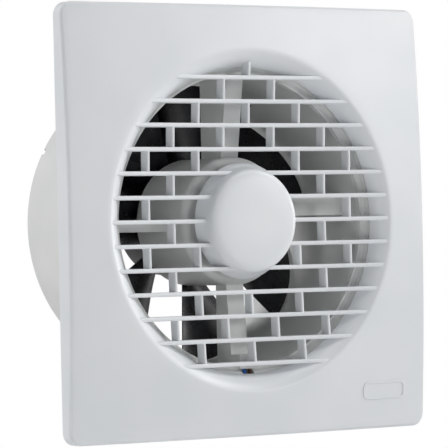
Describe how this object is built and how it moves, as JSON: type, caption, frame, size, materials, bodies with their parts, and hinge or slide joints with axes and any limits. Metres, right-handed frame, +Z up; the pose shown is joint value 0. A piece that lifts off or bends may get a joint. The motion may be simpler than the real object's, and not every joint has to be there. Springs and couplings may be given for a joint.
{
  "type": "bathroom extractor fan",
  "caption": "Square wall-mounted bathroom extractor fan with a domed pull-off cover, dished brick-pattern grille with a central boss, dark axial impeller and round duct spigot.",
  "frame": {"origin": "on the fan axis, in the plane where the back plate touches the wall", "axes": "+Y along the fan axis into the wall, -Y towards the room, +Z up, +X to the right seen from the room"},
  "size_m": [0.21, 0.0938, 0.21],
  "materials": {
    "white_cover_abs": "satin",
    "white_frame_abs": "satin",
    "silicon_steel": "satin",
    "copper": "satin",
    "black_polyamide": "matte",
    "enamelled_copper": "gloss",
    "fuse_sleeve": "matte",
    "zinc_casting": "matte",
    "sintered_bronze": "matte",
    "zinc_plated_steel": "satin",
    "ground_steel": "polished",
    "cast_aluminium": "matte",
    "black_impeller_abs": "gloss",
    "spring_steel": "satin",
    "white_polyamide": "matte",
    "brass": "satin",
    "black_rubber": "matte",
    "brown_pvc": "satin",
    "blue_pvc": "satin",
    "foil": "satin"
  },
  "bodies": {
    "housing": {"rear_frame": "white_frame_abs", "lead_channel_cover": "white_frame_abs", "stator_core": "silicon_steel", "shading_rings": "copper", "coil_bobbin": "black_polyamide", "coil_winding": "enamelled_copper", "thermal_fuse": "fuse_sleeve", "front_bearing_bracket": "zinc_casting", "rear_bearing_bracket": "zinc_casting", "front_bearing": "sintered_bronze", "rear_bearing": "sintered_bronze", "motor_screws": "zinc_plated_steel", "motor_cover": "white_frame_abs", "motor_cover_screws": "zinc_plated_steel", "terminal_block": "white_polyamide", "terminal_clamps": "brass", "terminal_screws": "zinc_plated_steel", "terminal_cover": "white_frame_abs", "terminal_cover_screw": "zinc_plated_steel", "cable_clamp": "white_polyamide", "cable_clamp_screws": "zinc_plated_steel", "cable_grommet": "black_rubber", "lead_brown": "brown_pvc", "lead_blue": "blue_pvc", "rating_plate": "foil"},
    "rotor": {"motor_shaft": "ground_steel", "rotor_core": "silicon_steel", "rotor_cage": "cast_aluminium", "impeller": "black_impeller_abs", "impeller_clip": "spring_steel"},
    "cover": {"front_cover": "white_cover_abs"}
  },
  "joints": [
    {"name": "fan_spin", "type": "hinge", "parent": "housing", "child": "rotor", "pos_m": [0, 0, 0], "axis": [0, 1, 0], "continuous": true},
    {"name": "cover_pull", "type": "slide", "parent": "housing", "child": "cover", "axis": [0, -1, 0], "range_m": [0, 0.04]}
  ]
}
